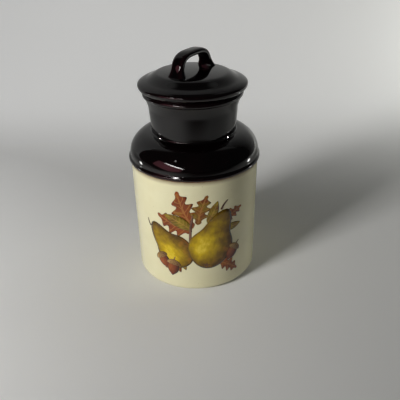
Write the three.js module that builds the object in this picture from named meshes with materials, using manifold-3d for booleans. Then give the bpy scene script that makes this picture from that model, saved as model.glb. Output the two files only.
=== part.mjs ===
// A stoneware kitchen canister in the shape of a milk can: a hollow jar with a
// shoulder, neck and flared mouth, and a domed lid with a strap handle and a soft seal.
// Millimetres, +Z up. The jar stands on z = 0 and every turned piece has the Z axis.

import * as THREE from "three";
import { mergeVertices } from "three/addons/utils/BufferGeometryUtils.js";
import Module from "manifold-3d";

const wasm = await Module();
wasm.setup();

// Jar body
const bodyRadius = 70;
const bodyDraft = 1.4;
const heelRadius = 7;
const wall = 5.5;
const floorThickness = 7;
const footWidth = 5;
const footHeight = 2.5;

// Shoulder, a dome that stands on a half-round bead where the two glazes meet
const glazeLine = 138.5;
const beadReach = 1.8;
const beadHeight = 5;
const shoulderLap = 0.3;
const shoulderFoot = 1.5;
const shoulderRise = 24;

// Neck and flared mouth with its rolled lip
const neckRadius = 45.7;
const neckFillet = 1.8;
const neckLength = 26.5;
const neckDraft = 1.7;
const flareHeight = 12.5;
const flareReach = 4.2;
const flareCurve = 1.34;
const lipRadius = 3.3;
const lipStep = 0.8;
const mouthLand = 1.6;

// Lid
const lidOverhang = 4.1;
const rimDepth = 6;
const brimHeight = 9.5;
const brimCurve = 2.1;
const crownHeight = 3.9;
const crownRadius = 42.6;
const crownSlope = 13;
const lidWall = 6.5;
const spigotDepth = 24;
const spigotClearance = 1.8;
const spigotWall = 4.6;
const reliefDepth = 4.5;

// Seal in the spigot's groove
const sealHeight = 7;
const sealLedge = 2.5;
const grooveDepth = 1.5;
const finHeight = 1.4;
const fitGap = 0.3;

// Strap handle, luted to the dome
const handleTurn = THREE.MathUtils.degToRad(56);
const handleSpan = 57.6;
const handleRise = 21;
const archCurve = 3.3;
const archLean = -1.1;
const strapWidth = 13.8;
const strapThickness = 6.4;
const strapRound = 3.2;
const footFlare = 9;
const footSink = 2;
const footSpread = 0.6;
const footSwell = 0.85;
const footKick = 2;

// Steps of the facets
const roundSteps = 56;
const archSteps = 38;
const strapSteps = 16;

// Heights and radii that follow from the sizes above
const heelOuter = bodyRadius - bodyDraft;
const footOuter = heelOuter - heelRadius;
const beadMiddle = glazeLine + beadHeight / 2;
const shoulderRadius = bodyRadius + shoulderLap;
const springLine = glazeLine + beadHeight + shoulderFoot;
const shoulderTop = springLine + shoulderRise;
const flareStart = shoulderTop + neckLength;
const neckTop = neckRadius + neckDraft;
const flareTop = flareStart + flareHeight;
const flareRadius = neckTop + flareReach;
const mouthRadius = flareRadius + lipStep + lipRadius * (1 - Math.cos(Math.PI / 4));
const lipCentre = mouthRadius - lipRadius;
const lipMiddle = flareTop + lipRadius * Math.sin(Math.PI / 4);
const mouthHeight = lipMiddle + lipRadius;
const throatRadius = neckRadius - wall;
const mouthBore = lipCentre - mouthLand - lipRadius;
const lidRadius = mouthRadius + lidOverhang;
const rimHeight = mouthHeight + rimDepth;
const domeTop = rimHeight + brimHeight + crownHeight;
const spigotRadius = throatRadius - spigotClearance;
const spigotBottom = mouthHeight - spigotDepth;
const grooveFloor = spigotRadius - grooveDepth;
const sealBottom = spigotBottom + sealLedge;
const sealTop = sealBottom + sealHeight;

const point = (radius, height) => new THREE.Vector2(radius, height);

// Points on an elliptical arc from one angle to another, in degrees
function arc(centre, middle, across, up, from, to, steps) {
  const start = THREE.MathUtils.degToRad(from);
  const end = THREE.MathUtils.degToRad(to);
  return new THREE.EllipseCurve(centre, middle, across, up, start, end, end < start).getPoints(steps);
}

// A solid of revolution about +Z from a closed half profile
function turned(profile) {
  return new THREE.LatheGeometry(profile, roundSteps).rotateX(Math.PI / 2);
}

function toSolid(geometry) {
  const bare = geometry.clone();
  bare.deleteAttribute("normal");
  bare.deleteAttribute("uv");
  const merged = mergeVertices(bare, 1e-4);
  return new wasm.Manifold(new wasm.Mesh({
    numProp: 3,
    vertProperties: new Float32Array(merged.attributes.position.array),
    triVerts: new Uint32Array(merged.index.array),
  }));
}

function toGeometry(solid) {
  const mesh = solid.getMesh();
  const geometry = new THREE.BufferGeometry();
  geometry.setAttribute("position", new THREE.BufferAttribute(mesh.vertProperties, 3));
  geometry.setIndex(new THREE.BufferAttribute(mesh.triVerts, 1));
  geometry.computeVertexNormals();
  return geometry;
}

// Jar: foot ring, rounded heel and drafted wall, then bead, shoulder, neck and mouth
const creamOutside = [
  point(0, footHeight),
  point(footOuter - footWidth - footHeight, footHeight),
  point(footOuter - footWidth, 0),
  ...arc(footOuter, heelRadius, heelRadius, heelRadius, -90, 0, 5),
  point(bodyRadius, glazeLine),
];
const flare = [0, 0.25, 0.5, 0.75, 1].map((share) =>
  point(neckTop + flareReach * share ** flareCurve, flareStart + flareHeight * share));
const brownOutside = [
  ...arc(shoulderRadius, beadMiddle, beadReach, beadHeight / 2, -72, 90, 6),
  ...arc(neckRadius, springLine, shoulderRadius - neckRadius, shoulderRise, 0, 80, 10),
  ...arc(neckRadius + neckFillet, shoulderTop + neckFillet, neckFillet, neckFillet, 270, 180, 3),
  ...flare,
  ...arc(lipCentre, lipMiddle, lipRadius, lipRadius, -45, 90, 6),
];
const inside = [
  ...arc(lipCentre - mouthLand, lipMiddle, lipRadius, lipRadius, 90, 180, 3),
  ...arc(throatRadius, flareTop, mouthBore - throatRadius, flareHeight, -20, -70, 2),
  point(throatRadius, flareStart),
  point(throatRadius, shoulderTop),
  ...arc(throatRadius, springLine - wall, bodyRadius - wall - throatRadius, shoulderRise, 75, 0, 5),
  ...arc(heelOuter - wall - heelRadius, floorThickness + heelRadius, heelRadius, heelRadius, 0, -90, 4),
  point(0, floorThickness),
];
const jarProfile = [...creamOutside, ...brownOutside, ...inside];
const jarGeometry = turned(jarProfile);

// The two glazes share the one casting: brown over the shoulder, neck and lip
const brownFrom = creamOutside.length - 1;
const brownTo = creamOutside.length + brownOutside.length;
const glazed = { cream: [], brown: [] };
for (let k = 0; k < jarGeometry.index.count; k += 3) {
  const corners = [0, 1, 2].map((c) => jarGeometry.index.getX(k + c));
  const rows = corners.map((corner) => corner % jarProfile.length);
  const isBrown = rows.every((row) => row >= brownFrom && row <= brownTo);
  glazed[isBrown ? "brown" : "cream"].push(...corners);
}
jarGeometry.setIndex([...glazed.cream, ...glazed.brown]);
jarGeometry.addGroup(0, glazed.cream.length, 0);
jarGeometry.addGroup(glazed.cream.length, glazed.brown.length, 1);

// Height of the lid's upper face: a low brim and a flat-topped crown that eases into it
function domeAt(radius) {
  const brim = (1 - (radius / lidRadius) ** brimCurve) ** (1 / brimCurve);
  const crown = THREE.MathUtils.smoothstep(crownRadius + crownSlope / 2 - radius, 0, crownSlope);
  return rimHeight + brimHeight * brim + crownHeight * crown;
}

// Lid: dome, rounded rim, flat seat on the mouth, relief, and the spigot with its groove
const dome = [0, 0.22, 0.42, 0.56, 0.64, 0.69, 0.74, 0.79, 0.85, 0.91, 0.96, 0.99, 1].map((share) =>
  point(lidRadius * share, domeAt(lidRadius * share)));
const hollowRadius = spigotRadius - spigotWall;
const reliefTop = mouthHeight + reliefDepth;
const lidProfile = [
  point(0, domeTop - lidWall),
  ...arc(0, mouthHeight, hollowRadius, domeTop - lidWall - mouthHeight, 65, 0, 4),
  point(hollowRadius, spigotBottom),
  point(spigotRadius, spigotBottom),
  point(spigotRadius, sealBottom - fitGap),
  point(grooveFloor, sealBottom - fitGap),
  point(grooveFloor, sealTop + fitGap),
  point(spigotRadius, sealTop + fitGap),
  point(spigotRadius, reliefTop),
  point(mouthBore, reliefTop),
  point(mouthBore, mouthHeight),
  ...arc(lipCentre, rimHeight, lidRadius - lipCentre, rimDepth, -90, -15, 5),
  ...dome.slice().reverse(),
];

// Seal: a band in the groove with two fins that reach for the throat
const sealInner = grooveFloor + fitGap;
const finReach = throatRadius - fitGap;
const sealProfile = [
  point(sealInner, sealBottom),
  point(finReach, sealBottom),
  point(finReach, sealBottom + finHeight),
  point(spigotRadius, sealBottom + 1.5 * finHeight),
  point(spigotRadius, sealTop - 1.5 * finHeight),
  point(finReach, sealTop - finHeight),
  point(finReach, sealTop),
  point(sealInner, sealTop),
  point(sealInner, sealBottom),
];

// Handle: rounded strap sections along a flat-topped arch that leans a little to its near
// foot, as a strap set by hand does, and swells where it meets the dome
const footLevel = domeTop - (brimHeight + crownHeight) / 2;
const archHalf = (handleSpan - strapThickness) / 2;
const archTop = domeTop + handleRise - strapThickness / 2;
const rootLevel = domeAt(archHalf) - footSink;
const strapPower = 2 / strapRound;
const archPower = 2 / archCurve;
const rounded = (value, power) => Math.sign(value) * Math.abs(value) ** power;
function archPoint(share) {
  const angle = Math.PI * (1 - share);
  const rise = rounded(Math.sin(angle), archPower);
  const along = archHalf * rounded(Math.cos(angle), archPower) + archLean * rise;
  return new THREE.Vector2(along, footLevel + (archTop - footLevel) * rise);
}
const strapRings = [];
for (let i = 0; i <= archSteps; i += 1) {
  const share = 0.5 - 0.5 * Math.cos((Math.PI * i) / archSteps);
  const middle = archPoint(share);
  const tangent = archPoint(Math.min(1, share + 1e-3)).sub(archPoint(Math.max(0, share - 1e-3))).normalize();
  const foot = THREE.MathUtils.clamp(1 - (middle.y - rootLevel) / (footFlare + footSink), 0, 1) ** 2;
  const kick = Math.sign(middle.x) * footKick * foot;
  const halfWidth = (strapWidth / 2) * (1 + footSpread * foot);
  const halfThick = (strapThickness / 2) * (1 + footSwell * foot);
  for (let k = 0; k < strapSteps; k += 1) {
    const angle = (2 * Math.PI * k) / strapSteps;
    const across = halfWidth * rounded(Math.cos(angle), strapPower);
    const out = halfThick * rounded(Math.sin(angle), strapPower);
    strapRings.push(middle.x + kick - tangent.y * out, across, middle.y + tangent.x * out);
  }
}
const strapFaces = [];
for (let i = 0; i < archSteps; i += 1) {
  for (let k = 0; k < strapSteps; k += 1) {
    const here = i * strapSteps + k;
    const beside = i * strapSteps + ((k + 1) % strapSteps);
    strapFaces.push(here, beside, here + strapSteps, beside, beside + strapSteps, here + strapSteps);
  }
}
const lastRing = archSteps * strapSteps;
for (let k = 1; k < strapSteps - 1; k += 1) {
  strapFaces.push(0, k + 1, k, lastRing, lastRing + k, lastRing + k + 1);
}
const strap = new THREE.BufferGeometry();
strap.setAttribute("position", new THREE.Float32BufferAttribute(strapRings, 3));
strap.setIndex(strapFaces);
strap.rotateZ(handleTurn);
const domeBlock = turned([point(0, mouthHeight), point(lidRadius, mouthHeight), ...dome.slice().reverse()]);
const handleGeometry = toGeometry(toSolid(strap).subtract(toSolid(domeBlock.translate(0, 0, fitGap))));

const creamGlaze = new THREE.MeshStandardMaterial({ color: 0xd9d3b4, roughness: 0.18, metalness: 0 });
const brownGlaze = new THREE.MeshStandardMaterial({ color: 0x1d0f0d, roughness: 0.1, metalness: 0 });
const handleGlaze = new THREE.MeshStandardMaterial({ color: 0x261210, roughness: 0.1, metalness: 0 });
const lidGlaze = new THREE.MeshStandardMaterial({ color: 0x1f100e, roughness: 0.1, metalness: 0 });
const softSeal = new THREE.MeshStandardMaterial({ color: 0xc9c4b2, roughness: 0.6, metalness: 0 });

function piece(name, geometry, material) {
  const mesh = new THREE.Mesh(geometry, material);
  mesh.name = name;
  return mesh;
}

const canister = new THREE.Group();
canister.add(piece("jar", jarGeometry, [creamGlaze, brownGlaze]));
const closure = new THREE.Group();
closure.add(piece("lid_seal", turned(sealProfile), softSeal));
closure.add(piece("lid", turned(lidProfile), lidGlaze));
closure.add(piece("lid_handle", handleGeometry, handleGlaze));
canister.add(closure);

export default canister;
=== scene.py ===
from math import atan2, cos, exp, hypot, pi, radians, sin
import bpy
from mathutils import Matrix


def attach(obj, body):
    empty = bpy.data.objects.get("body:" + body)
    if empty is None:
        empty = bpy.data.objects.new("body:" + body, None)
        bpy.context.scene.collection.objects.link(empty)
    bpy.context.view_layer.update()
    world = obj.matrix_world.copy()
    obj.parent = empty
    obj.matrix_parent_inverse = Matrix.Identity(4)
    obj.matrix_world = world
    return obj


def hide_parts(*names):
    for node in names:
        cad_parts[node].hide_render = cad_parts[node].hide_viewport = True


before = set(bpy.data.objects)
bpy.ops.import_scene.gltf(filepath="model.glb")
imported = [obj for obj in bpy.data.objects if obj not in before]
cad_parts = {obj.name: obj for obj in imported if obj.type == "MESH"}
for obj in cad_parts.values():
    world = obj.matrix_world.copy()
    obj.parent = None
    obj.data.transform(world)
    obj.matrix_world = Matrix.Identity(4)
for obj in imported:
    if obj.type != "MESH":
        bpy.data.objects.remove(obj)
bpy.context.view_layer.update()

from types import SimpleNamespace

import bmesh
import bpy
from mathutils import Matrix, Vector

# Jar
# One slip-cast stoneware pot, glossy cream below the shoulder's bead and dark brown from the bead up.
# The brown glaze is dipped on second. It thins to amber under the bead and stains the cream just below it, and
# painted shade from the bead's overhang is mixed into that stain.
mm = 0.001
body_radius = 70.0
heel_outer = 68.6
heel_radius = 7.0
wall = 5.5
inner_radius = body_radius - wall
inner_heel = heel_outer - wall
floor_thickness = 7.0
foot_outer = heel_outer - heel_radius
foot_width = 5.0
foot_inner = foot_outer - foot_width
foot_height = 2.5
foot_edge = 0.6
foot_inset = 0.4
wall_foot = heel_radius + 2.0
base_flat = 8.0
base_bend = 3.0
base_round = 1.2
glaze_line = 138.5
bead_fillet = 0.8
bead_reach = 1.775
bead_height = 5.0
bead_middle = glaze_line + bead_height / 2
bead_hollow = 0.65
shoulder_radius = body_radius + 0.3
spring_line = glaze_line + bead_height + 1.5
spring_foot = 0.3
shoulder_rise = 24.0
shoulder_top = spring_line + shoulder_rise
neck_radius = 45.7
neck_fillet = 1.8
neck_sink = 0.15
neck_start = shoulder_top + 5.0
flare_start = 195.5
neck_top = 47.4
flare_height = 12.5
flare_top = flare_start + flare_height
flare_reach = 4.2
flare_curve = 1.34
flare_steps = 14
lip_radius = 3.3
lip_swell = 0.8
lip_centre = neck_top + flare_reach + lip_swell - lip_radius * cos(pi / 4)
lip_middle = flare_top + lip_radius * sin(pi / 4)
mouth_height = lip_middle + lip_radius
mouth_land = 1.6
mouth_bore = lip_centre - mouth_land - lip_radius
throat_radius = neck_radius - wall
inner_top = spring_line - wall - 1.0
inner_foot = floor_thickness + 8.0
floor_flat = 20.0
dip_inside = 4


def arc(centre, middle, across, up, start, end, steps):
    """Points of an elliptical arc in the half plane of a turned profile, angles in degrees."""
    turns = [radians(start + (end - start) * k / steps) for k in range(steps + 1)]
    return [(centre + across * cos(a), middle + up * sin(a)) for a in turns]


def fillet(centre, middle, radius, start, end, steps):
    """Points of a round arc."""
    return arc(centre, middle, radius, radius, start, end, steps)


def line(start, end, steps):
    """Points of a straight run that leave out its end."""
    return [(start[0] + (end[0] - start[0]) * k / steps, start[1] + (end[1] - start[1]) * k / steps)
            for k in range(steps)]


def bend(start, corner, end, steps):
    """Points of a smooth bend that leaves out its start and leans towards a corner."""
    shares = [k / steps for k in range(1, steps + 1)]
    return [tuple((1 - s) ** 2 * a + 2 * s * (1 - s) * b + s * s * c for a, b, c in zip(start, corner, end))
            for s in shares]


def turned(name, profile, steps=176):
    """Spin a profile (mm) about Z; 'run' keeps the length along it and 'edge' its convex bends."""
    edge_gain, shortest = 3.0, 0.05
    bm = bmesh.new()
    run_layer = bm.verts.layers.float.new("run")
    edge_layer = bm.verts.layers.float.new("edge")
    verts, run = [], 0.0
    for k, (radius, height) in enumerate(profile):
        if k:
            run += hypot(radius - profile[k - 1][0], height - profile[k - 1][1])
        vert = bm.verts.new((radius * mm, 0.0, height * mm))
        vert[run_layer] = run
        if 0 < k < len(profile) - 1:
            before = (radius - profile[k - 1][0], height - profile[k - 1][1])
            after = (profile[k + 1][0] - radius, profile[k + 1][1] - height)
            turn = atan2(before[0] * after[1] - before[1] * after[0],
                         before[0] * after[0] + before[1] * after[1])
            length = 0.5 * (hypot(*before) + hypot(*after))
            vert[edge_layer] = max(0.0, min(1.0, edge_gain * turn / max(length, shortest)))
        verts.append(vert)
    edges = [bm.edges.new(pair) for pair in zip(verts, verts[1:])]
    bmesh.ops.spin(bm, geom=verts + edges, axis=(0, 0, 1), cent=(0, 0, 0), angle=2 * pi, steps=steps,
                   use_merge=True)
    bmesh.ops.remove_doubles(bm, verts=bm.verts, dist=1e-6)
    bmesh.ops.recalc_face_normals(bm, faces=bm.faces)
    return finished(name, bm)


def finished(name, bm):
    """A smooth-shaded object at the origin from a bmesh."""
    for face in bm.faces:
        face.smooth = True
    mesh = bpy.data.meshes.new(name)
    bm.to_mesh(mesh)
    bm.free()
    piece = bpy.data.objects.new(name, mesh)
    bpy.context.scene.collection.objects.link(piece)
    return piece


def run_to(profile, count):
    """Length along a profile up to a point's number."""
    return sum(hypot(b[0] - a[0], b[1] - a[1]) for a, b in zip(profile[:count], profile[1:count + 1]))


foot_points = [
    (0.0, foot_height), (foot_inner - base_flat, foot_height),
    *fillet(foot_inner - base_bend, foot_height - base_round, base_round, 90, 30, 3),
    *fillet(foot_inner + foot_edge, foot_edge, foot_edge, 210, 270, 4)]
cream_points = [
    *line((foot_inner + 2 * foot_edge, 0.0), (foot_outer - foot_inset, 0.0), 3),
    *fillet(foot_outer, heel_radius, heel_radius, -90, 0, 18),
    *line((heel_outer, wall_foot), (body_radius, glaze_line - bead_fillet), 24),
    *fillet(body_radius + bead_fillet, glaze_line - bead_fillet, bead_fillet, 180, 100, 5)]
bead_points = arc(shoulder_radius, bead_middle, bead_reach, bead_height / 2, -72, 60, 22)
bead_top = bead_points[-1]
flare_shares = [k / flare_steps for k in range(flare_steps + 1)]
brown_points = [
    *bead_points,
    *bend(bead_top, (shoulder_radius, bead_top[1] + bead_hollow), (shoulder_radius, spring_line - spring_foot), 7),
    *arc(neck_radius, spring_line, shoulder_radius - neck_radius, shoulder_rise, 0, 82, 44),
    *fillet(neck_radius + neck_fillet, shoulder_top + neck_fillet - neck_sink, neck_fillet, 262, 180, 8),
    *line((neck_radius + neck_sink, neck_start), (neck_top, flare_start), 9),
    *[(neck_top + flare_reach * s ** flare_curve, flare_start + flare_height * s) for s in flare_shares],
    *fillet(lip_centre, lip_middle, lip_radius, -42, 90, 16)]
inside_points = [
    *fillet(lip_centre - mouth_land, lip_middle, lip_radius, 90, 180, 10),
    *arc(throat_radius, flare_top, mouth_bore - throat_radius, flare_height, -10, -80, 8),
    *line((throat_radius, flare_start), (throat_radius, shoulder_top), 6),
    *arc(throat_radius, spring_line - wall, inner_radius - throat_radius, shoulder_rise, 76, 0, 16),
    *line((inner_radius, inner_top), (inner_heel, inner_foot), 12),
    *fillet(inner_heel - heel_radius, floor_thickness + heel_radius, heel_radius, 0, -90, 10),
    (floor_flat, floor_thickness), (0.0, floor_thickness)]
jar_profile = foot_points + cream_points + brown_points + inside_points
cream_count = len(foot_points) + len(cream_points)
glaze_start = run_to(jar_profile, len(foot_points))
brown_start = run_to(jar_profile, cream_count - 1)
brown_end = run_to(jar_profile, cream_count + len(brown_points) + dip_inside)
jar = turned("jar_casting", jar_profile)


def add(tree, kind, links=None, **settings):
    """Add a shader node, set its properties, then fill or link its inputs by name or number."""
    made = tree.nodes.new(kind)
    for key, value in settings.items():
        setattr(made, key, value)
    for key, value in (links or {}).items():
        if isinstance(value, bpy.types.NodeSocket):
            tree.links.new(value, made.inputs[key])
        else:
            made.inputs[key].default_value = value
    return made


def calc(tree, operation, first, second=0.0, third=0.0, clamp=False):
    """The result of one math node."""
    inputs = {0: first, 1: second, 2: third}
    return add(tree, "ShaderNodeMath", inputs, operation=operation, use_clamp=clamp).outputs[0]


def times(tree, first, second):
    """One value times another."""
    return calc(tree, "MULTIPLY", first, second)


def plus(tree, base, value, gain):
    """A base value plus a share of another value."""
    return calc(tree, "MULTIPLY_ADD", value, gain, base)


def soft_step(tree, value, low, high):
    """A soft step from 0 below low to 1 above high."""
    return add(tree, "ShaderNodeMapRange", {"Value": value, "From Min": low, "From Max": high},
               interpolation_type="SMOOTHSTEP").outputs[0]


def soft_drop(tree, value, low, high):
    """A soft step from 1 below low to 0 above high."""
    return calc(tree, "SUBTRACT", 1.0, soft_step(tree, value, low, high))


def mix_tones(tree, factor, first, second):
    """A mix of two colours, each linked or written as red, green and blue."""
    first, second = ((*tone, 1.0) if isinstance(tone, tuple) else tone for tone in (first, second))
    return add(tree, "ShaderNodeMix", {0: factor, 6: first, 7: second}, data_type="RGBA").outputs[2]


def carried(tree, name, output="Fac"):
    """A value that the mesh's points carry."""
    return add(tree, "ShaderNodeAttribute", attribute_name=name).outputs[output]


def set_relief(tree, shader, height, strength, depth):
    """Give a shader a fine relief from a height that changes over the surface."""
    bump = add(tree, "ShaderNodeBump", {"Height": height, "Strength": strength, "Distance": depth})
    tree.links.new(bump.outputs[0], shader.inputs["Normal"])


def start_finish(name):
    """A new node material, with its node tree and its shader."""
    material = bpy.data.materials.new(name)
    material.use_nodes = True
    tree = material.node_tree
    return material, tree, tree.nodes["Principled BSDF"]


# Every glaze here has a slow mottle, a faint ripple from the wet dip and a few pinholes.
glaze_skin = bpy.data.node_groups.new("glaze_skin", "ShaderNodeTree")
for label, kind in (("Coordinates", "NodeSocketVector"), ("Grain", "NodeSocketFloat")):
    glaze_skin.interface.new_socket(label, in_out="INPUT", socket_type=kind)
for label in ("Mottle", "Ripple", "Pinholes"):
    glaze_skin.interface.new_socket(label, in_out="OUTPUT", socket_type="NodeSocketFloat")
skin_place, skin_grain = add(glaze_skin, "NodeGroupInput").outputs[:2]
skin_out = add(glaze_skin, "NodeGroupOutput")
slow = add(glaze_skin, "ShaderNodeTexNoise",
           {"Vector": skin_place, "Scale": skin_grain, "Detail": 4.0, "Roughness": 0.55})
wide = add(glaze_skin, "ShaderNodeTexNoise", {"Vector": skin_place, "Scale": 38.0, "Detail": 1.0})
specks = add(glaze_skin, "ShaderNodeTexVoronoi", {"Vector": skin_place, "Scale": 165.0}, feature="F1")
chance = add(glaze_skin, "ShaderNodeTexNoise", {"Vector": skin_place, "Scale": 95.0, "Detail": 0.0})
pits = times(glaze_skin, soft_drop(glaze_skin, specks.outputs["Distance"], 0.03, 0.12),
             soft_step(glaze_skin, chance.outputs["Fac"], 0.56, 0.66))
glaze_skin.links.new(slow.outputs["Fac"], skin_out.inputs["Mottle"])
glaze_skin.links.new(wide.outputs["Fac"], skin_out.inputs["Ripple"])
glaze_skin.links.new(pits, skin_out.inputs["Pinholes"])


def skin(tree, grain):
    """Mottle, ripple and pinholes of the shared glaze skin on a piece's object coordinates."""
    here = add(tree, "ShaderNodeTexCoord").outputs["Object"]
    made = add(tree, "ShaderNodeGroup", {"Coordinates": here, "Grain": grain}, node_tree=glaze_skin)
    return made.outputs["Mottle"], made.outputs["Ripple"], made.outputs["Pinholes"]


cream = (0.72, 0.680, 0.45)
cream_deep = (0.62, 0.560, 0.32)
cream_variation = 0.25
# Brown stain mixed with painted shade, on the cream just under the bead.
bead_stain_and_shade = (0.13, 0.058, 0.010)
stain_and_shade_reach = 6.2
stain_and_shade_strength = 0.86
pinhole_tone = (0.22, 0.13, 0.06)
brown_thick = (0.0007, 0.00035, 0.00045)
brown_thin = (0.0065, 0.0014, 0.0020)
amber = (0.15, 0.050, 0.010)
bare_clay = (0.62, 0.50, 0.36)
clay_shade = (0.50, 0.38, 0.25)
clay_roughness = 0.8
glaze_grain = 55.0
glaze_ior = 1.52
ripple_strength = 0.12
ripple_depth = 0.0012
jar_edge_gain = 0.3


def brown_coat(tree, mottle, edge_gain):
    """Colour of the dark glaze: thick and near black, red-brown where it thins on convex edges."""
    thin = calc(tree, "ADD", times(tree, carried(tree, "edge"), edge_gain),
                plus(tree, -0.18, mottle, 0.5), clamp=True)
    return mix_tones(tree, thin, brown_thick, brown_thin)


jar_glaze, tree, shader = start_finish("cream_and_brown_glaze")
mottle, ripple, pinholes = skin(tree, glaze_grain)
here = add(tree, "ShaderNodeTexCoord").outputs["Object"]
waver = add(tree, "ShaderNodeTexNoise", {"Vector": here, "Scale": 60.0, "Detail": 3.0}).outputs["Fac"]
wavy_run = calc(tree, "ADD", carried(tree, "run"), plus(tree, -0.55, waver, 1.1))
brown = times(tree, soft_step(tree, wavy_run, brown_start - 0.85, brown_start - 0.25),
              soft_drop(tree, wavy_run, brown_end - 0.5, brown_end + 0.8))
varied = mix_tones(tree, soft_step(tree, mottle, 0.35, 0.75), cream, cream_deep)
cream_tone = mix_tones(tree, cream_variation, cream, varied)
# Painted shade and brown stain on the cream under the bead, strongest at the bead and fading over a few
# millimetres.
under_bead_stain_and_shade = soft_step(tree, wavy_run, brown_start - stain_and_shade_reach, brown_start + 1.0)
cream_tone = mix_tones(tree, times(tree, under_bead_stain_and_shade, stain_and_shade_strength), cream_tone, bead_stain_and_shade)
cream_tone = mix_tones(tree, times(tree, pinholes, 0.45), cream_tone, pinhole_tone)
clay = soft_drop(tree, wavy_run, glaze_start + 3.2, glaze_start + 5.2)
cream_tone = mix_tones(tree, clay, cream_tone, mix_tones(tree, mottle, bare_clay, clay_shade))
fade = soft_drop(tree, wavy_run, brown_start + 0.6, brown_start + 2.8)
brown_tone = mix_tones(tree, fade, brown_coat(tree, mottle, jar_edge_gain), amber)
tree.links.new(mix_tones(tree, brown, cream_tone, brown_tone), shader.inputs["Base Color"])
gloss = plus(tree, 0.045, mottle, 0.05)
tree.links.new(calc(tree, "MAXIMUM", gloss, times(tree, clay, clay_roughness)), shader.inputs["Roughness"])
set_relief(tree, shader, plus(tree, ripple, pinholes, -0.25), ripple_strength, ripple_depth)
shader.inputs["IOR"].default_value = glaze_ior
jar.data.materials.append(jar_glaze)
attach(jar, "jar")
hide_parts("jar")

# Front print
# A fired decal of pears, oak leaves and acorns, laid on the cream front and glazed over.
# Each motif is a film a tenth of a millimetre thick, and later motifs lie over earlier ones.
film = 0.10
film_sunk = 0.05
film_step = 0.02
nut_size = 8.6
stalk_length = 5.0
pear_finish, leaf_finish, nut_finish, cup_finish, twig_finish = range(5)
bm = bmesh.new()
paint_layer = bm.verts.layers.float_vector.new("paint")
rim_layer = bm.verts.layers.float.new("rim")
tone_layer = bm.verts.layers.float.new("tone")
motifs_laid = 0


def round_sheet(sides=72, rings=10):
    """A flat unit disc made of rings, for fruit and nuts."""
    sheet = bmesh.ops.create_circle(bm, cap_ends=False, radius=1.0, segments=sides)["verts"]
    edges = list({edge for vert in sheet for edge in vert.link_edges})
    for k in range(1, rings):
        made = bmesh.ops.extrude_edge_only(bm, edges=edges)["geom"]
        edges = [item for item in made if isinstance(item, bmesh.types.BMEdge)
                 and all(v in made for v in item.verts)]
        inner = [item for item in made if isinstance(item, bmesh.types.BMVert)]
        shrink = (rings - k) / (rings - k + 1)
        bmesh.ops.scale(bm, vec=(shrink, shrink, 1.0), verts=inner)
        sheet += inner
    bmesh.ops.contextual_create(bm, geom=edges)
    return sheet


def strip_sheet(across, along):
    """A flat strip of squares, for leaves and twigs."""
    return bmesh.ops.create_grid(bm, x_segments=across, y_segments=along, size=1.0)["verts"]


def lay_on_jar(sheet, shape, place, turn, size, finish, tone):
    """Shape a flat sheet, turn and size it, and wrap it round the front of the jar."""
    global motifs_laid
    motifs_laid += 1
    spin = Matrix.Rotation(radians(turn), 2)
    for vert in sheet:
        across, up, rim = shape(vert.co)
        vert[paint_layer] = (across, up, 0.0)
        vert[rim_layer] = rim
        vert[tone_layer] = tone
        flat = spin @ Vector((across, up)) * size + Vector(place)
        radius = heel_outer + (body_radius - heel_outer) * (flat.y - heel_radius) / (glaze_line - heel_radius)
        radius += film_step * motifs_laid - film_sunk
        around = flat.x / body_radius
        vert.co = Vector((radius * sin(around), -radius * cos(around), flat.y)) * mm
    bmesh.ops.remove_doubles(bm, verts=sheet, dist=1e-7)
    faces = {face for vert in sheet if vert.is_valid for face in vert.link_faces}
    for face in faces:
        face.material_index = finish
    raised = bmesh.ops.extrude_face_region(bm, geom=list(faces))["geom"]
    for vert in raised:
        if isinstance(vert, bmesh.types.BMVert):
            grow = 1.0 + film * mm / hypot(vert.co.x, vert.co.y)
            vert.co.x *= grow
            vert.co.y *= grow


def pear_shape(point):
    """A full belly with a neck that leans to one side."""
    rho, theta = point.xy.length, atan2(point.x, point.y)
    reach = rho * (1.0 + 0.95 * exp(-(theta / 0.42) ** 2) - 0.03 * cos(3 * theta))
    up = reach * cos(theta)
    return reach * sin(theta) + 0.07 * max(0.0, up) ** 2, up, rho


def leaf_shape(point, lobes=4.0, curl=0.16, width=0.30):
    """A leaf with round lobes along a bent midrib."""
    side, along = point.x, (point.y + 1.0) / 2
    half = width * max(0.0, sin(pi * along ** 0.8)) ** 0.72 * (0.73 + 0.27 * cos(2 * pi * lobes * along))
    rim = max(abs(side), 1.0 - 14.0 * along, 14.0 * along - 13.0)
    return side * half + curl * along * along, along + 0.36 * abs(side * half) * (1.0 - along), rim


def slim_leaf_shape(point):
    """A narrow leaf with a plain edge."""
    return leaf_shape(point, lobes=0.0, curl=-0.14, width=0.20)


def nut_shape(point):
    """An egg with a small point at its lower end."""
    rho, theta = point.xy.length, atan2(point.x, -point.y)
    reach = rho * (1.0 + 0.22 * exp(-(theta / 0.22) ** 2))
    return 0.80 * reach * sin(theta), -1.12 * reach * cos(theta), rho


def cup_shape(point):
    """A cap, high above and shallow below."""
    rho, theta = point.xy.length, atan2(point.x, point.y)
    squash = 0.66 if abs(theta) < pi / 2 else 0.22
    return rho * sin(theta), rho * squash * cos(theta), rho


def eye_shape(point):
    """The five dry points at a pear's base."""
    rho, theta = point.xy.length, atan2(point.x, point.y)
    reach = rho * (0.62 + 0.38 * cos(5 * theta))
    return reach * sin(theta), 0.8 * reach * cos(theta), rho


def twig_shape(curl, thin):
    """A twig that bends and tapers."""
    def shape(point):
        along = (point.y + 1.0) / 2
        return point.x * thin * (1.25 - 0.6 * along) + curl * along * along, along, abs(point.x)
    return shape


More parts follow.
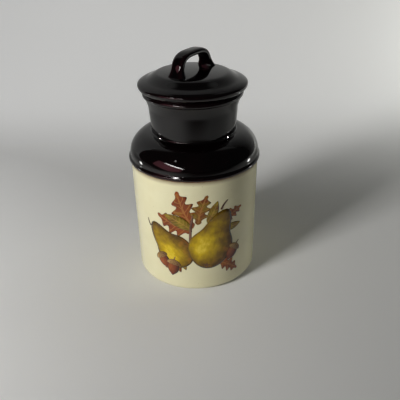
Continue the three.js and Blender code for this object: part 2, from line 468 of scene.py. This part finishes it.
# Place on the front (mm), turn (degrees), length (mm) and tone, from russet to olive for leaves.
oak_leaves = (((-4, 80), 76, 42, 0.10), ((-3, 84), 30, 46, 0.35), ((2, 88), -8, 36, 0.70),
              ((30, 88), -54, 27, 0.25), ((-8, 42), 124, 32, 0.60), ((24, 38), -116, 31, 0.15))
slim_leaves = (((-4, 82), 54, 34, 0.95), ((12, 90), -34, 27, 0.85), ((30, 80), -98, 23, 1.0))
acorns = (((-38, 38), 34, 0.2), ((-27, 31), -8, 0.7), ((42, 46), -34, 0.5))
for place, turn, size, tone in oak_leaves:
    lay_on_jar(strip_sheet(8, 56), leaf_shape, place, turn, size, leaf_finish, tone)
for place, turn, size, tone in slim_leaves:
    lay_on_jar(strip_sheet(6, 32), slim_leaf_shape, place, turn, size, leaf_finish, tone)
lay_on_jar(strip_sheet(2, 24), twig_shape(0.16, 0.040), (-6, 66), 4, 34, twig_finish, 0.3)
lay_on_jar(round_sheet(), pear_shape, (-24, 52), 50, 21.5, pear_finish, 0.2)
lay_on_jar(round_sheet(), pear_shape, (16, 57), -14, 25.5, pear_finish, 0.8)
lay_on_jar(strip_sheet(2, 20), twig_shape(0.30, 0.085), (27.6, 103.5), -20, 12, twig_finish, 0.1)
lay_on_jar(strip_sheet(2, 20), twig_shape(0.25, 0.095), (-54.5, 77.0), 36, 9, twig_finish, 0.1)
lay_on_jar(round_sheet(40, 5), eye_shape, (10.8, 35.8), -14, 3.8, twig_finish, 0.0)
for place, turn, tone in acorns:
    spin = Matrix.Rotation(radians(turn), 2)
    crown = Vector(place) + spin @ Vector((0.0, 0.58 * nut_size))
    tip = Vector(place) + spin @ Vector((0.0, 1.16 * nut_size))
    lay_on_jar(round_sheet(48, 8), nut_shape, place, turn, nut_size, nut_finish, tone)
    lay_on_jar(round_sheet(48, 8), cup_shape, crown, turn, nut_size * 0.98, cup_finish, tone)
    lay_on_jar(strip_sheet(2, 12), twig_shape(0.2, 0.13), tip, turn, stalk_length, twig_finish, tone)
bmesh.ops.recalc_face_normals(bm, faces=bm.faces)
front_print = finished("front_print", bm)

# The painter's hand: long strokes along a motif and broad dabs across it.
brush_work = bpy.data.node_groups.new("brush_work", "ShaderNodeTree")
brush_work.interface.new_socket("Coordinates", in_out="INPUT", socket_type="NodeSocketVector")
for label in ("Strokes", "Dabs"):
    brush_work.interface.new_socket(label, in_out="OUTPUT", socket_type="NodeSocketFloat")
brush_place = add(brush_work, "NodeGroupInput").outputs[0]
brush_out = add(brush_work, "NodeGroupOutput")
pulled = add(brush_work, "ShaderNodeMapping", {"Vector": brush_place, "Scale": (11.0, 3.2, 1.0)})
strokes = add(brush_work, "ShaderNodeTexNoise",
              {"Vector": pulled.outputs[0], "Scale": 1.0, "Detail": 4.0, "Roughness": 0.6})
dabs = add(brush_work, "ShaderNodeTexNoise", {"Vector": brush_place, "Scale": 3.4, "Detail": 2.0})
brush_work.links.new(strokes.outputs["Fac"], brush_out.inputs["Strokes"])
brush_work.links.new(dabs.outputs["Fac"], brush_out.inputs["Dabs"])


def tone_ramp(tree, factor, stops):
    """A colour that runs through stops of place and colour."""
    made = add(tree, "ShaderNodeValToRGB", {0: factor})
    elements = made.color_ramp.elements
    while len(elements) < len(stops):
        elements.new(0.5)
    for element, (place, colour) in zip(elements, stops):
        element.position = place
        element.color = (*colour, 1.0)
    return made.outputs[0]


def start_paint(name):
    """A new decal paint, with what its motifs carry and the brush work on them."""
    material, tree, shader = start_finish(name)
    paint, tone = carried(tree, "paint", "Vector"), carried(tree, "tone")
    apart = add(tree, "ShaderNodeCombineXYZ", {2: tone}).outputs[0]
    moved = add(tree, "ShaderNodeVectorMath", {0: paint, 1: apart}, operation="ADD").outputs[0]
    brush = add(tree, "ShaderNodeGroup", {"Coordinates": moved}, node_tree=brush_work).outputs
    split = add(tree, "ShaderNodeSeparateXYZ", {0: paint}).outputs
    motif = SimpleNamespace(paint=paint, side=split[0], up=split[1], rim=carried(tree, "rim"), tone=tone,
                            strokes=brush["Strokes"], dabs=brush["Dabs"])
    return material, tree, shader, motif


def uneven(tree, light, brush, gain):
    """Lighten and darken by a brush pattern about its middle."""
    return plus(tree, light, calc(tree, "SUBTRACT", brush, 0.5), gain)


def end_paint(tree, shader, motif, colour, outline, start):
    """Draw the dark outline round a motif, then set its gloss and brush relief."""
    rim = times(tree, soft_step(tree, motif.rim, start, 1.0), 0.65)
    tree.links.new(mix_tones(tree, rim, colour, outline), shader.inputs["Base Color"])
    tree.links.new(plus(tree, 0.06, motif.strokes, 0.10), shader.inputs["Roughness"])
    set_relief(tree, shader, motif.strokes, 0.10, 0.0004)
    shader.inputs["IOR"].default_value = glaze_ior


# Golden pears, lit from the left and darker at the rim, with a gleam, a red cheek and freckles.
pear_paint, tree, shader, motif = start_paint("pear_paint")
light = plus(tree, 0.42, motif.side, -0.26)
light = plus(tree, light, motif.up, 0.05)
light = plus(tree, light, calc(tree, "POWER", motif.rim, 3.5), -0.42)
light = uneven(tree, light, motif.strokes, 0.30)
light = uneven(tree, light, motif.dabs, 0.60)
from_gleam = add(tree, "ShaderNodeVectorMath", {0: motif.paint, 1: (-0.30, 0.05, 0.0)}, operation="DISTANCE")
light = plus(tree, light, soft_drop(tree, from_gleam.outputs["Value"], 0.0, 0.95), 0.36)
colour = tone_ramp(tree, light, [(0.0, (0.080, 0.038, 0.001)), (0.25, (0.19, 0.105, 0.001)),
                                 (0.5, (0.35, 0.225, 0.001)), (0.72, (0.56, 0.38, 0.003)),
                                 (0.95, (0.82, 0.62, 0.05))])
cheek = plus(tree, plus(tree, motif.dabs, motif.side, 0.28), motif.up, -0.10)
cheek = times(tree, soft_step(tree, cheek, 0.62, 0.95), 0.50)
colour = mix_tones(tree, cheek, colour, (0.30, 0.095, 0.010))
freckles = add(tree, "ShaderNodeTexVoronoi", {"Vector": motif.paint, "Scale": 13.0}).outputs["Distance"]
freckles = times(tree, soft_drop(tree, freckles, 0.05, 0.13), 0.30)
colour = mix_tones(tree, freckles, colour, (0.17, 0.095, 0.010))
end_paint(tree, shader, motif, colour, (0.045, 0.025, 0.006), 0.90)

# Autumn leaves between russet and olive, with pale veins.
leaf_paint, tree, shader, motif = start_paint("leaf_paint")
warm = plus(tree, plus(tree, -0.22, motif.dabs, 0.6), motif.strokes, 0.7)
russet = tone_ramp(tree, warm, [(0.0, (0.055, 0.012, 0.004)), (0.35, (0.16, 0.030, 0.006)),
                                (0.6, (0.28, 0.062, 0.010)), (0.9, (0.42, 0.15, 0.025))])
olive = tone_ramp(tree, warm, [(0.0, (0.050, 0.034, 0.002)), (0.4, (0.15, 0.105, 0.006)),
                               (0.7, (0.30, 0.225, 0.015)), (0.95, (0.46, 0.38, 0.06))])
green = plus(tree, plus(tree, -0.75, motif.tone, 0.9), motif.dabs, 1.3)
colour = mix_tones(tree, soft_step(tree, green, 0.25, 0.75), russet, olive)
rising = times(tree, plus(tree, motif.up, motif.rim, -0.16), 8.0)
comb = calc(tree, "ABSOLUTE", calc(tree, "SUBTRACT", calc(tree, "FRACT", rising), 0.5))
veins = calc(tree, "MAXIMUM", soft_drop(tree, comb, 0.05, 0.14), soft_drop(tree, motif.rim, 0.05, 0.13))
colour = mix_tones(tree, times(tree, veins, 0.45), colour, (0.48, 0.24, 0.05))
end_paint(tree, shader, motif, colour, (0.040, 0.014, 0.008), 0.80)

# Chestnut-brown acorns, lit from the left.
nut_paint, tree, shader, motif = start_paint("nut_paint")
light = plus(tree, 0.46, motif.side, -0.42)
light = plus(tree, light, calc(tree, "POWER", motif.rim, 3.0), -0.30)
light = uneven(tree, light, motif.strokes, 0.6)
colour = tone_ramp(tree, light, [(0.0, (0.040, 0.010, 0.006)), (0.35, (0.15, 0.032, 0.012)),
                                 (0.65, (0.31, 0.085, 0.020)), (0.95, (0.58, 0.26, 0.06))])
end_paint(tree, shader, motif, colour, (0.035, 0.010, 0.006), 0.86)

# Scaly acorn cups.
cup_paint, tree, shader, motif = start_paint("acorn_cup_paint")
scales = add(tree, "ShaderNodeTexVoronoi", {"Vector": motif.paint, "Scale": 9.0}, feature="DISTANCE_TO_EDGE")
scales = soft_step(tree, scales.outputs["Distance"], 0.0, 0.16)
light = plus(tree, plus(tree, 0.15, scales, 0.5), motif.side, -0.30)
colour = tone_ramp(tree, light, [(0.0, (0.040, 0.016, 0.007)), (0.4, (0.17, 0.085, 0.028)),
                                 (0.75, (0.38, 0.22, 0.07)), (1.0, (0.60, 0.42, 0.17))])
end_paint(tree, shader, motif, colour, (0.035, 0.012, 0.006), 0.86)

# Twigs, stalks and the pear's dry eye.
twig_paint, tree, shader, motif = start_paint("twig_paint")
light = plus(tree, plus(tree, -0.12, motif.tone, 0.3), motif.strokes, 0.9)
colour = tone_ramp(tree, light, [(0.0, (0.035, 0.014, 0.010)), (0.4, (0.11, 0.045, 0.025)),
                                 (0.8, (0.36, 0.20, 0.12))])
end_paint(tree, shader, motif, colour, (0.030, 0.012, 0.008), 0.70)

for paint_finish in (pear_paint, leaf_paint, nut_paint, cup_paint, twig_paint):
    front_print.data.materials.append(paint_finish)
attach(front_print, "jar")

# Seal
# A soft off-white ring that is stretched into the groove of the lid's spigot.
# Two thin fins bend against the throat and keep the air out; it lifts off with the lid.
seal_inner = 37.2
seal_low = 192.13
seal_high = 199.13
seal_edge = 0.4
seal_band = 38.4
fin_reach = 39.9
fin_height = 1.4
fin_round = 0.5
fin_half = 0.6
fin_root = 0.25
fin_slope = 0.35
root_round = 0.6
root_half = 0.7
root_rise = 1.3
low_root = seal_low + fin_height
high_root = seal_high - fin_height
seal_profile = [
    (seal_inner, seal_low + seal_edge), (seal_inner + seal_edge, seal_low), (fin_reach - seal_edge, seal_low),
    *arc(fin_reach - fin_round, seal_low + fin_half, fin_round, fin_half, -60, 75, 6),
    (seal_band + fin_root, low_root + fin_slope),
    *arc(seal_band + root_round, low_root + root_rise, root_round, root_half, 230, 180, 4),
    *arc(seal_band + root_round, high_root - root_rise, root_round, root_half, 180, 130, 4),
    (seal_band + fin_root, high_root - fin_slope),
    *arc(fin_reach - fin_round, seal_high - fin_half, fin_round, fin_half, -75, 60, 6),
    (fin_reach - seal_edge, seal_high), (seal_inner + seal_edge, seal_high), (seal_inner, seal_high - seal_edge),
    (seal_inner, seal_low + seal_edge)]
seal = turned("seal_ring", seal_profile, 128)
vinyl_pale = (0.60, 0.56, 0.44)
vinyl_deep = (0.46, 0.41, 0.29)
vinyl_grain = 120.0
soft_vinyl, tree, shader = start_finish("soft_vinyl")
mottle, ripple, _ = skin(tree, vinyl_grain)
tree.links.new(mix_tones(tree, mottle, vinyl_pale, vinyl_deep), shader.inputs["Base Color"])
tree.links.new(plus(tree, 0.36, mottle, 0.2), shader.inputs["Roughness"])
set_relief(tree, shader, ripple, 0.2, 0.0006)
shader.inputs["Subsurface Weight"].default_value = 0.2
shader.inputs["Subsurface Scale"].default_value = 0.002
seal.data.materials.append(soft_vinyl)
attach(seal, "seal")
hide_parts("lid_seal")

# Lid
# A cast stoneware lid: flat-topped crown, low brim, rounded rim, flat seat and hollow spigot.
# It is dipped in the same dark brown glaze, which runs thin and reddish on the rim.
lid_radius = lip_centre + lip_radius + 4.1
rim_depth = 6.0
rim_height = mouth_height + rim_depth
brim_height = 9.5
brim_curve = 2.1
crown_height = 3.9
crown_radius = 42.6
crown_slope = 13.0
dome_top = rim_height + brim_height + crown_height
dome_steps = 60
lid_wall = 6.5
hollow_top = dome_top - lid_wall
hollow_radius = 33.8
hollow_round = 1.5
hollow_straight = mouth_height - 2.0
spigot_radius = 38.4
spigot_straight = seal_high + 2.0
spigot_bottom = mouth_height - 24.0
spigot_round = 1.2
groove_floor = 36.9
groove_gap = 0.3
groove_edge = 0.2
groove_low = seal_low - groove_gap
groove_high = seal_high + groove_gap
relief_top = mouth_height + 4.5
relief_round = 1.5
seat_gap = 0.06
seat_height = mouth_height + seat_gap
seat_round = 0.6


def dome_at(radius):
    """Height of the lid's upper face at a distance from the axis, in mm."""
    brim = (1.0 - min(1.0, radius / lid_radius) ** brim_curve) ** (1.0 / brim_curve)
    rise = max(0.0, min(1.0, (crown_radius + crown_slope / 2 - radius) / crown_slope))
    return rim_height + brim_height * brim + crown_height * rise * rise * (3.0 - 2.0 * rise)


dome_shares = [sin(pi / 2 * k / dome_steps) for k in range(dome_steps + 1)]
lid_profile = [
    (0.0, hollow_top),
    *arc(0.0, mouth_height, hollow_radius, hollow_top - mouth_height, 82, 0, 14),
    *line((hollow_radius, hollow_straight), (hollow_radius, spigot_bottom + hollow_round), 4),
    *fillet(hollow_radius + hollow_round, spigot_bottom + hollow_round, hollow_round, 180, 270, 5),
    *fillet(spigot_radius - spigot_round, spigot_bottom + spigot_round, spigot_round, -90, 0, 5),
    (spigot_radius, groove_low - groove_edge), (spigot_radius - groove_edge, groove_low),
    (groove_floor, groove_low), (groove_floor, groove_high),
    (spigot_radius - groove_edge, groove_high), (spigot_radius, groove_high + groove_edge),
    *line((spigot_radius, spigot_straight), (spigot_radius, relief_top - relief_round), 4),
    *fillet(spigot_radius + relief_round, relief_top - relief_round, relief_round, 180, 90, 4),
    *fillet(mouth_bore - relief_round, relief_top - relief_round, relief_round, 90, 0, 4),
    *fillet(mouth_bore + seat_round, seat_height + seat_round, seat_round, 180, 270, 4),
    *line((mouth_bore + 2 * seat_round, seat_height), (lip_centre, seat_height), 3),
    *arc(lip_centre, rim_height, lid_radius - lip_centre, rim_depth - seat_gap, -90, 0, 22),
    *[(lid_radius * s, dome_at(lid_radius * s)) for s in reversed(dome_shares[:-1])]]
lid = turned("lid_casting", lid_profile)


def brown_glaze(name, grain, edge_gain):
    """Dark glaze alone, as on the lid and its handle."""
    material, tree, shader = start_finish(name)
    mottle, ripple, pinholes = skin(tree, grain)
    tree.links.new(brown_coat(tree, mottle, edge_gain), shader.inputs["Base Color"])
    tree.links.new(plus(tree, 0.04, mottle, 0.05), shader.inputs["Roughness"])
    set_relief(tree, shader, plus(tree, ripple, pinholes, -0.3), ripple_strength, ripple_depth)
    shader.inputs["IOR"].default_value = glaze_ior
    return material


lid_edge_gain = 0.28
lid.data.materials.append(brown_glaze("lid_brown_glaze", glaze_grain, lid_edge_gain))
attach(lid, "lid")
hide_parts("lid")

# Handle
# A strap of clay bent into a flat-topped arch and luted across the dome before glazing.
# Its feet are thumbed out into the dome, so the joint is a smooth hollow fillet.
handle_turn = radians(56.0)
handle_span = 57.6
handle_top = dome_top + 21.0
strap_width = 13.8
strap_thickness = 6.4
strap_round = 3.2
arch_curve = 3.3
arch_lean = -1.1
arch_base = dome_top - (brim_height + crown_height) / 2
arch_half = (handle_span - strap_thickness) / 2
arch_top = handle_top - strap_thickness / 2
foot_flare = 9.0
foot_sink = 2.0
foot_spread = 0.6
foot_swell = 0.85
foot_kick = 2.0
luted_depth = 0.4
section_sides = 48
arch_steps = 96


def rounded(value, power):
    """A signed power, which turns a circle into a rounded rectangle."""
    return (1 if value > 0 else -1) * abs(value) ** power


def arch_point(share):
    """A point of the strap's middle line, from one foot at 0 to the other at 1."""
    angle = pi * (1.0 - share)
    rise = abs(sin(angle)) ** (2 / arch_curve)
    return Vector((arch_half * rounded(cos(angle), 2 / arch_curve) + arch_lean * rise, 0.0,
                   arch_base + (arch_top - arch_base) * rise))


def strap_point(share, across, out):
    """A point of the strap's skin; the strap swells and kicks out as it nears the dome."""
    middle = arch_point(share)
    tangent = (arch_point(min(1.0, share + 1e-3)) - arch_point(max(0.0, share - 1e-3))).normalized()
    root = dome_at(arch_half) - foot_sink
    foot = max(0.0, min(1.0, 1.0 - (middle.z - root) / (foot_flare + foot_sink))) ** 2
    middle.x += (1 if middle.x > 0 else -1) * foot_kick * foot
    thick = out * strap_thickness / 2 * (1.0 + foot_swell * foot)
    aside = across * strap_width / 2 * (1.0 + foot_spread * foot)
    return middle + Vector((-tangent.z * thick, aside, tangent.x * thick))


def luted_share(low, high, across, out):
    """The share of the arch at which one line of the strap runs into the dome."""
    for _ in range(40):
        middle = (low + high) / 2
        place = strap_point(middle, across, out)
        if place.z > dome_at(hypot(place.x, place.y)) - luted_depth:
            high = middle
        else:
            low = middle
    return high


bm = bmesh.new()
edge_layer = bm.verts.layers.float.new("edge")
ring = bmesh.ops.create_circle(bm, cap_ends=False, radius=1.0, segments=section_sides)["verts"]
lines = []
for vert in ring:
    across, out = rounded(vert.co.x, 2 / strap_round), rounded(vert.co.y, 2 / strap_round)
    corner = min(1.0, 2.2 * abs(vert.co.x * vert.co.y)) ** 2
    lines.append((across, out, corner, luted_share(0.0, 0.5, across, out), luted_share(1.0, 0.5, across, out)))
turn = Matrix.Rotation(handle_turn, 3, "Z")
for step in range(arch_steps + 1):
    if step:
        loop = {edge for vert in ring for edge in vert.link_edges if all(v in ring for v in edge.verts)}
        made = set(bmesh.ops.extrude_edge_only(bm, edges=list(loop))["geom"])
        ring = [next(e.other_vert(vert) for e in vert.link_edges if e.other_vert(vert) in made) for vert in ring]
    share = 0.5 - 0.5 * cos(pi * step / arch_steps)
    for vert, (across, out, corner, near, far) in zip(ring, lines):
        vert.co = turn @ strap_point(near + (far - near) * share, across, out) * mm
        vert[edge_layer] = corner
bmesh.ops.holes_fill(bm, edges=[e for e in bm.edges if e.is_boundary], sides=section_sides)
bmesh.ops.recalc_face_normals(bm, faces=bm.faces)
handle = finished("strap_handle", bm)
handle_grain = 70.0
handle_edge_gain = 0.6
handle.data.materials.append(brown_glaze("handle_brown_glaze", handle_grain, handle_edge_gain))
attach(handle, "lid")
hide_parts("lid_handle")

# Studio
# A seamless sweep of pale paper, with a soft key lamp from the left and a wide fill from the right.
# The paper is pale to the camera, with painted light on its left. In the gloss it shows a painted reflection
# glowing at the back and left and a painted shadow at the front right. Some lamps show in the gloss alone.
sweep_width = 2.6
sweep_front = -1.6
sweep_bend = 0.55
sweep_radius = 0.5
sweep_top = 2.4
bend_line = [(sweep_bend + sweep_radius * sin(radians(a)), sweep_radius - sweep_radius * cos(radians(a)))
             for a in range(6, 91, 6)]
sweep_line = [(sweep_front, 0.0), (sweep_bend, 0.0), *bend_line, (sweep_bend + sweep_radius, sweep_top)]
bm = bmesh.new()
verts = [bm.verts.new((-sweep_width, y, z)) for y, z in sweep_line]
edges = [bm.edges.new(pair) for pair in zip(verts, verts[1:])]
made = bmesh.ops.extrude_edge_only(bm, edges=edges)["geom"]
far_side = [item for item in made if isinstance(item, bmesh.types.BMVert)]
bmesh.ops.translate(bm, verts=far_side, vec=(2 * sweep_width, 0, 0))
bmesh.ops.recalc_face_normals(bm, faces=bm.faces)
sweep = finished("pale_sweep", bm)
paper_tones = (0.77, 0.77, 0.765), (0.83, 0.83, 0.82)
gloss_shadow_tone = (0.03, 0.03, 0.03)
paper, tree, shader = start_finish("pale_paper")
place = add(tree, "ShaderNodeTexCoord").outputs["Object"]
paper_x, paper_y = add(tree, "ShaderNodeSeparateXYZ", {0: place}).outputs[:2]
tooth = add(tree, "ShaderNodeTexNoise", {"Vector": place, "Scale": 3.0, "Detail": 3.0})
tone = mix_tones(tree, tooth.outputs["Fac"], *paper_tones)
ray = add(tree, "ShaderNodeLightPath").outputs
near_edge = soft_drop(tree, paper_y, -0.42, -0.27)
rightward = soft_step(tree, paper_x, -0.30, 0.02)
# Painted shadow: in the gloss the paper turns near black at the front right.
painted_gloss_shadow = times(tree, times(tree, near_edge, rightward), times(tree, ray["Is Glossy Ray"], 0.85))
tree.links.new(mix_tones(tree, painted_gloss_shadow, tone, gloss_shadow_tone), shader.inputs["Base Color"])
# Painted reflection: in the gloss the paper glows at the back and on the left.
wall_glow = times(tree, soft_step(tree, paper_y, 0.22, 0.85), plus(tree, 0.28, paper_x, -0.13))
# Painted light: a brighter pool on the left of the floor, for the camera and in the gloss.
left_glow = times(tree, soft_step(tree, times(tree, paper_x, -1.0), 0.05, 0.42), 0.18)
left_glow = times(tree, left_glow, calc(tree, "SUBTRACT", 1.0, near_edge))
painted_gloss_reflection = times(tree, calc(tree, "MAXIMUM", wall_glow, left_glow), times(tree, ray["Is Glossy Ray"], 0.58))
back_glow = times(tree, soft_step(tree, paper_y, 0.10, 0.60), plus(tree, 0.30, paper_x, -0.20))
sideways = plus(tree, calc(tree, "ABSOLUTE", paper_x), paper_y, -0.5)
away = calc(tree, "MAXIMUM", sideways, times(tree, paper_y, -1.0))
far_glow = times(tree, soft_step(tree, away, 0.30, 0.95), 0.45)
pale = calc(tree, "MAXIMUM", calc(tree, "MAXIMUM", back_glow, left_glow), far_glow)
tree.links.new(plus(tree, painted_gloss_reflection, pale, ray["Is Camera Ray"]), shader.inputs["Emission Strength"])
shader.inputs["Emission Color"].default_value = (1.0, 1.0, 0.99, 1.0)
shader.inputs["Roughness"].default_value = 0.9
shader.inputs["Specular IOR Level"].default_value = 0.2
sweep.data.materials.append(paper)


def lamp(name, place, aim, width, height, power, tint, spread=180.0, roll=0.0):
    """A rectangular lamp aimed at a point; it is out of the camera's sight."""
    data = bpy.data.lights.new(name, "AREA")
    data.shape = "RECTANGLE"
    data.size = width
    data.size_y = height
    data.energy = power
    data.color = tint
    data.spread = radians(spread)
    made = bpy.data.objects.new(name, data)
    made.location = place
    facing = (Vector(aim) - Vector(place)).to_track_quat("-Z", "Y").to_matrix()
    made.rotation_euler = (facing @ Matrix.Rotation(radians(roll), 3, "Z")).to_euler()
    made.visible_camera = False
    bpy.context.scene.collection.objects.link(made)
    return made


white = (1.0, 0.99, 0.97)
cool = (0.99, 1.0, 0.94)
rosy = (1.0, 0.34, 0.42)
tilt = -24.0
key = lamp("key_left", (-0.894, -0.777, 0.56), (0, 0.03, 0.10), 0.30, 0.16, 2.65, white, 80.0)
fill = lamp("fill_right", (0.93, 0.55, 0.26), (0, 0, 0.10), 0.80, 0.40, 3.3, cool)
for soft in (key, fill):
    soft.visible_glossy = False
strip = lamp("strip_left", (-0.68, -0.95, 0.54), (0, 0.04, 0.10), 0.86, 0.018, 0.30, white, 48.0, tilt)
panel = lamp("panel_left", (-0.96, -0.90, 0.34), (0, 0.04, 0.12), 1.25, 0.56, 0.72, rosy, 110.0, tilt)
for shine in (strip, panel):
    shine.visible_diffuse = False
# Small lamps that only the gloss shows, on the shoulder's sides, the bead, the neck's foot and the lid's rim.
for name, place, aim, size, power, spread in (
        ("shoulder_glint_left", (-0.42, 0.06, 0.055), (-0.065, -0.02, 0.155), 0.050, 0.0010, 16.0),
        ("shoulder_glint_right", (0.42, 0.08, 0.045), (0.065, -0.02, 0.155), 0.050, 0.0010, 16.0),
        ("bead_glint", (-0.061, -0.119, 0.218), (-0.019, -0.069, 0.143), 0.016, 0.0005, 10.0),
        ("neck_glint_left", (-0.175, 0.000, 0.217), (-0.035, -0.030, 0.170), 0.014, 0.0005, 7.0),
        ("neck_glint_right", (0.175, -0.003, 0.217), (0.035, -0.030, 0.170), 0.014, 0.0009, 7.0),
        ("rim_glint_right", (0.244, 0.118, 0.050), (0.044, -0.036, 0.218), 0.010, 0.00003, 4.0)):
    glint = lamp(name, place, aim, size, size, power, white, spread)
    glint.visible_diffuse = False

# The room is pale behind and above and dim in front, with a dim patch overhead.
# To the camera it is plain and pale.
room_tint = (0.98, 1.0, 0.97, 1.0)
room_least = 0.020
room_seen = 0.60
room = bpy.data.worlds.new("soft_room")
room.use_nodes = True
tree = room.node_tree
room_x, room_y, room_z = add(
    tree, "ShaderNodeSeparateXYZ", {0: add(tree, "ShaderNodeTexCoord").outputs["Generated"]}).outputs
behind = soft_step(tree, plus(tree, room_y, room_z, 0.55), 0.60, 0.80)
patch = times(tree, soft_step(tree, room_y, 0.08, 0.14), soft_drop(tree, room_y, 0.40, 0.46))
patch = times(tree, patch, soft_step(tree, room_z, 0.78, 0.86))
patch = times(tree, patch, soft_drop(tree, calc(tree, "ABSOLUTE", room_x), 0.24, 0.38))
glow = times(tree, behind, plus(tree, 0.20, room_x, -0.08))
glow = calc(tree, "ADD", times(tree, glow, plus(tree, 1.0, patch, -0.95)), room_least)
seen = times(tree, add(tree, "ShaderNodeLightPath").outputs["Is Camera Ray"], room_seen)
sky = tree.nodes["Background"]
sky.inputs["Color"].default_value = room_tint
tree.links.new(calc(tree, "MAXIMUM", glow, seen), sky.inputs["Strength"])
bpy.context.scene.world = room

# Camera
# Set at the photograph's viewing angle, which was fitted to the canister's outline.
camera_data = bpy.data.cameras.new("photo_view")
camera_data.sensor_width = 36.0
camera_data.lens = 46.8
camera_data.clip_start = 0.01
camera = bpy.data.objects.new("photo_view", camera_data)
camera.location = (0.003658, -0.530047, 0.377013)
camera.rotation_euler = (radians(60.6608), radians(1.0441), radians(-0.7455))
bpy.context.scene.collection.objects.link(camera)
bpy.context.scene.camera = camera
bpy.context.scene.view_settings.view_transform = "Standard"
